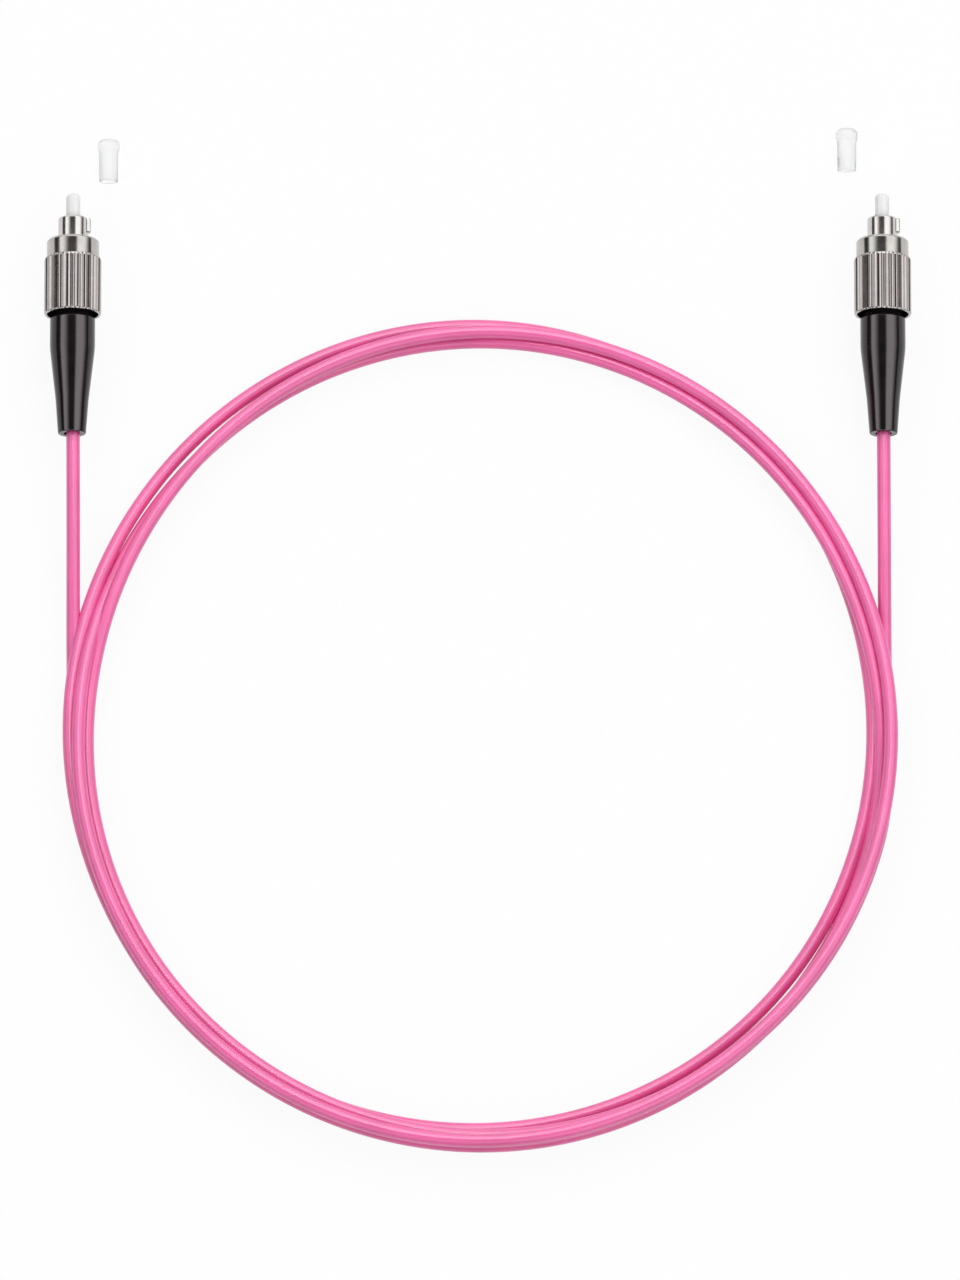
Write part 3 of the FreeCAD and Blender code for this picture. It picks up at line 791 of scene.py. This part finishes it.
class PATCHCORD_OT_coupling_nuts(bpy.types.Operator):
    """Turn the coupling nuts: smooth front, ribbed rear, inner thread, ring groove and skirt"""

    bl_idname = "patchcord.coupling_nuts"
    bl_label = "Coupling nuts"

    def execute(self, context):
        connector = context.scene.patch_cord.connector
        rear, front = ends("coupling_nut_a")
        crest, smooth, bore, skirt, groove = 5.0, 4.6, 3.6, 4.5, 3.95
        knurl_front, groove_front = front - 3.3, front - 6.45
        groove_rear, skirt_front = groove_front - 0.8, groove_front - 1.85
        thread_from, thread_to, run_out = groove_front + 0.3, front - 0.4, 0.5
        pitch, depth = connector.thread_pitch / MM, connector.thread_depth / MM
        ribs, flute = connector.knurl_ribs, connector.knurl_depth / MM
        outline = rounded([
            (bore + 0.4, front, 0.05),
            (smooth - 0.38, front, 0.10),
            (smooth, front - 0.40, 0.25),
            (smooth, knurl_front, 0.03),
            (crest - 0.20, knurl_front, 0.10),
            (crest, knurl_front - 0.4, 0.20),
            (crest, rear + 0.30, 0.20),
            (crest - 0.15, rear, 0.08),
            (skirt + 0.10, rear, 0.05),
            (skirt, rear + 0.10, 0.05),
            (skirt, skirt_front, 0.08),
            (bore, skirt_front, 0.05),
            (bore, groove_rear, 0.03),
            (groove, groove_rear, 0),
            (groove, groove_front, 0),
            (bore, groove_front, 0),
            *((bore, float(s), 0) for s in np.arange(thread_from, thread_to, pitch / THREAD_STEPS)),
            (bore, thread_to, 0),
        ])

        def ribbed_and_threaded(radius, station, around):
            """Cut the flutes into the rear and the thread into the bore."""
            phase = (around * ribs / FULL_TURN + RIB_PHASE) % 1.0
            from_flute = np.abs(2 * phase - 1)
            cut = np.clip((RIB_STEPS - 1 - RIB_STEPS * from_flute) / (RIB_STEPS - 2), 0.0, 1.0)
            shape = np.minimum(radius, crest - flute * cut)
            lead = (station / pitch - around / FULL_TURN) % 1.0
            flank = (1 - THREAD_FLAT - np.abs(2 * lead - 1)) / (1 - 2 * THREAD_FLAT)
            thread = depth * np.clip(flank, 0.0, 1.0)
            fade = np.clip((station - thread_from) / run_out, 0.0, 1.0)
            inside = np.isclose(radius, bore) & (station >= thread_from)
            return np.where(inside, shape + thread * fade, shape)

        # the flute colour is painted shade in the nut's flutes
        nickel = metal_finish("nickel_nut_finish", connector.nickel, flute=connector.flute, ribs=ribs,
                              knurl_front=knurl_front)
        for side in SIDES:
            mesh = turned(outline, ribs * RIB_STEPS, ribbed_and_threaded)
            add_piece(context, f"coupling_nut_{side}", mesh, nickel, f"nut_{side}",
                      sharp=20.0)
        return {"FINISHED"}


def add_key(mesh, front):
    """Rounded locating key, narrower at its top, on the right-hand side of the barrel's front."""
    inside, outside, half_width, length_back, setback = 1.98, 3.125, 1.07, 2.6, 0.10
    narrowing, rounding = 0.8, 0.30
    size = Vector((outside - inside, length_back, 2 * half_width))
    middle = Vector(((inside + outside) / 2, front - setback - length_back / 2, 0.0))
    place = Matrix.Translation(middle * MM) @ Matrix.Diagonal((*(size * MM), 1.0))
    key = bmesh.new()
    key.from_mesh(mesh)
    block = bmesh.ops.create_cube(key, size=1.0, matrix=place)
    outer = [v for v in block["verts"] if v.co.x > middle.x * MM]
    for vertex in outer:
        vertex.co.z *= narrowing
    edges = {e for v in outer for e in v.link_edges}
    bmesh.ops.bevel(key, geom=list(edges), offset=rounding * MM, segments=5, profile=0.5,
                    affect="EDGES")
    key.to_mesh(mesh)
    key.free()


class PATCHCORD_OT_barrels(bpy.types.Operator):
    """Turn the barrels with their recess, shoulder, neck and locating key"""

    bl_idname = "patchcord.barrels"
    bl_label = "Barrels"

    def execute(self, context):
        connector = context.scene.patch_cord.connector
        nickel = metal_finish("nickel_barrel_finish", connector.barrel)
        rear, front = ends("plug_frame_a")
        recess, rim, barrel, shoulder, neck, chamber = 1.85, 2.40, 2.625, 3.50, 2.80, 2.15
        shoulder_front, shoulder_rear, chamber_front = front - 5.0, front - 6.5, front - 3.4
        outline = rounded([
            (recess, front, 0.08),
            (rim, front, 0.06),
            (barrel, front - 0.25, 0.20),
            (barrel, shoulder_front, 0.02),
            (shoulder, shoulder_front, 0.08),
            (shoulder, shoulder_rear, 0.08),
            (neck, shoulder_rear, 0.02),
            (neck, rear, 0.05),
            (chamber, rear, 0.05),
            (chamber, chamber_front, 0),
            (recess, chamber_front, 0.03),
        ])
        for side in SIDES:
            mesh = turned(outline, 128)
            add_key(mesh, front)
            add_piece(context, f"plug_frame_{side}", mesh, nickel)
        return {"FINISHED"}


class PATCHCORD_OT_ferrules(bpy.types.Operator):
    """Turn the ceramic ferrules with their domed tips"""

    bl_idname = "patchcord.ferrules"
    bl_label = "Ferrules"

    def execute(self, context):
        ceramic = ceramic_finish(context.scene.patch_cord.connector)
        rear, tip = ends("ferrule_a")
        hole, seat, outside = 0.068, 1.05, 1.25
        seat_front = rear + 2.68
        outline = rounded([
            (hole, rear, 0),
            (seat, rear, 0.03),
            (seat, seat_front, 0),
            (outside, seat_front, 0.03),
            (outside, tip - 0.50, 0.6),
            (0.85, tip - 0.05, 0.25),
            (0.40, tip - 0.01, 0.2),
            (hole, tip, 0),
        ], steps=7)
        for side in SIDES:
            mesh = turned(outline, 96)
            add_piece(context, f"ferrule_{side}", mesh, ceramic,
                      f"ferrule_group_{side}")
        return {"FINISHED"}


class PATCHCORD_OT_boots(bpy.types.Operator):
    """Turn the rubber boots with their long taper and stepped bore"""

    bl_idname = "patchcord.boots"
    bl_label = "Boots"

    def execute(self, context):
        rubber = rubber_finish(context.scene.patch_cord.connector)
        tail, head = ends("boot_a")
        nut_rear, _ = ends("coupling_nut_a")
        lip = tail - 0.6
        mouth, thin_end, waist, body, neck = 1.45, 2.47, 2.91, 3.97, 3.50
        cord_bore, sleeve_bore, sleeve_rear, sleeve_front = 1.25, 1.62, tail + 14.70, tail + 18.70
        body_bore, body_bore_rear = 2.47, tail + 19.10
        outline = rounded([
            (mouth, lip, 0.05),
            (thin_end - 0.11, lip, 0.08),
            (thin_end, lip + 0.15, 0.2),
            (waist, tail + 5.6, 40.0),
            (body, tail + 14.8, 18.0),
            (body, nut_rear - 0.95, 0.3),
            (neck, nut_rear - 0.05, 0.3),
            (neck, head, 0.15),
            (body_bore, head, 0.05),
            (body_bore, body_bore_rear, 0),
            (sleeve_bore, sleeve_front, 0),
            (sleeve_bore, sleeve_rear, 0),
            (cord_bore, sleeve_rear, 0),
        ], steps=8)
        for side in SIDES:
            mesh = turned(outline, 128)
            piece = add_piece(context, f"boot_{side}", mesh, rubber)
            bpy.data.collections[BOOT_LAMPS].objects.link(piece)
        return {"FINISHED"}


class PATCHCORD_OT_caps(bpy.types.Operator):
    """Mould the two caps that lie in front of the connectors"""

    bl_idname = "patchcord.caps"
    bl_label = "Dust caps"

    def execute(self, context):
        plastic = cap_finish(context.scene.patch_cord.connector)
        wall, head, bore, axis, long_way, shoulder, blind_end = 1.65, 1.9, 1.25, 0.01, 7.5, 5.6, 1.5
        outline = rounded([
            (bore + 0.15, 0.0, 0.05),
            (wall, 0.0, 0.12),
            (wall, shoulder - 0.25, 0.6),
            (head, shoulder + 0.10, 0.3),
            (head, long_way - 0.55, 0.5),
            (head - 0.60, long_way, 0.5),
            (axis, long_way, 0),
            (axis, long_way - blind_end, 0),
            (bore, long_way - blind_end, 0.15),
            (bore, 0.15, 0.05),
        ], steps=6)
        lean = math.atan((head - wall) / shoulder)
        for side in SIDES:
            low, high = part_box(f"dust_cap_{side}")
            mouth = Vector(((low.x + high.x) / 2, low.y + wall * MM * math.sin(lean),
                            wall * MM * math.cos(lean)))
            mesh = turned(outline, 96)
            mesh.transform(Matrix.Rotation(lean, 4, "X"))
            add_piece(context, f"dust_cap_{side}", mesh, plastic, place=mouth)
        return {"FINISHED"}


class PATCHCORD_OT_springs(bpy.types.Operator):
    """Wind the springs behind the ferrules"""

    bl_idname = "patchcord.springs"
    bl_label = "Springs"

    def execute(self, context):
        connector = context.scene.patch_cord.connector
        steel = metal_finish("spring_steel_finish", connector.spring, roughness=0.22, marks=0.02)
        wire, turns, steps_a_turn = 0.35, 5, 32
        closed_turn, closed_rise = 0.75, 0.8 * wire
        low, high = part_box("spring_a")
        rear, front = low.y / MM + wire / 2, high.y / MM - wire / 2
        stations = np.interp(np.arange(turns * steps_a_turn + 1) / steps_a_turn,
                             [0, closed_turn, turns - closed_turn, turns],
                             [rear, rear + closed_rise, front - closed_rise, front])
        mean_radius = ((high.x - low.x) / MM - wire) / 2
        travel = {joint["name"]: joint.get("range_m", (0, 0))[1]
                  for joint in frame["record"]["behaviour"]["joints"]}
        for side in SIDES:
            mesh = wound(mean_radius, wire, stations, steps_a_turn)
            piece = add_piece(context, f"spring_{side}", mesh, steel, sharp=60.0)
            push = f"ferrule_push_{side}"
            1 - travel[push] / (high.y - low.y)
            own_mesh(piece)
        return {"FINISHED"}


class PATCHCORD_OT_inner_works(bpy.types.Operator):
    """Give the hidden pieces inside the connectors their finishes"""

    bl_idname = "patchcord.inner_works"
    bl_label = "Inner works"

    def execute(self, context):
        connector = context.scene.patch_cord.connector
        finishes = {
            "ferrule_flange": metal_finish("holder_steel_finish", connector.holder, roughness=0.25),
            "stop_body": metal_finish("nickel_body_finish", connector.nickel, roughness=0.22),
            "retaining_ring": metal_finish("ring_steel_finish", connector.ring, roughness=0.28),
            "crimp_sleeve": metal_finish("crimp_metal_finish", connector.crimp, roughness=0.30,
                                         marks=0.10),
            "aramid_yarn": fibre_finish("aramid_finish", connector.yarn),
            "buffered_fibre": fibre_finish("fibre_buffer_finish", connector.buffer, across=2500.0),
        }
        for node, finish in finishes.items():
            for side in SIDES:
                mesh = frame["nodes"][f"{node}_{side}"].data
                mesh.materials.clear()
                mesh.materials.append(finish)
        return {"FINISHED"}


# Panel and registration

class PATCHCORD_PT_panel(bpy.types.Panel):
    """Lists the pieces and their settings"""

    bl_label = "Patch cord"
    bl_idname = "PATCHCORD_PT_panel"
    bl_space_type = "VIEW_3D"
    bl_region_type = "UI"
    bl_category = "Patch cord"

    def draw(self, context):
        settings = context.scene.patch_cord
        for operator in OPERATORS:
            self.layout.operator(operator.bl_idname)
        for group in (settings.cord, settings.connector, settings.stage):
            box = self.layout.box()
            for name in group.__annotations__:
                box.prop(group, name)


OPERATORS = (
    PATCHCORD_OT_stage, PATCHCORD_OT_cord, PATCHCORD_OT_coupling_nuts, PATCHCORD_OT_barrels,
    PATCHCORD_OT_ferrules, PATCHCORD_OT_springs, PATCHCORD_OT_boots, PATCHCORD_OT_caps,
    PATCHCORD_OT_inner_works,
)
CLASSES = (
    CordSettings, ConnectorSettings, StageSettings, PatchCordSettings, *OPERATORS, PATCHCORD_PT_panel,
)


def register():
    for cls in CLASSES:
        bpy.utils.register_class(cls)
    bpy.types.Scene.patch_cord = PointerProperty(type=PatchCordSettings)


def unregister():
    del bpy.types.Scene.patch_cord
    for cls in reversed(CLASSES):
        bpy.utils.unregister_class(cls)


def main():
    register()
    bpy.ops.patchcord.stage()
    bpy.ops.patchcord.cord()
    bpy.ops.patchcord.coupling_nuts()
    bpy.ops.patchcord.barrels()
    bpy.ops.patchcord.ferrules()
    bpy.ops.patchcord.springs()
    bpy.ops.patchcord.boots()
    bpy.ops.patchcord.caps()
    bpy.ops.patchcord.inner_works()


if __name__ == "__main__":
    main()
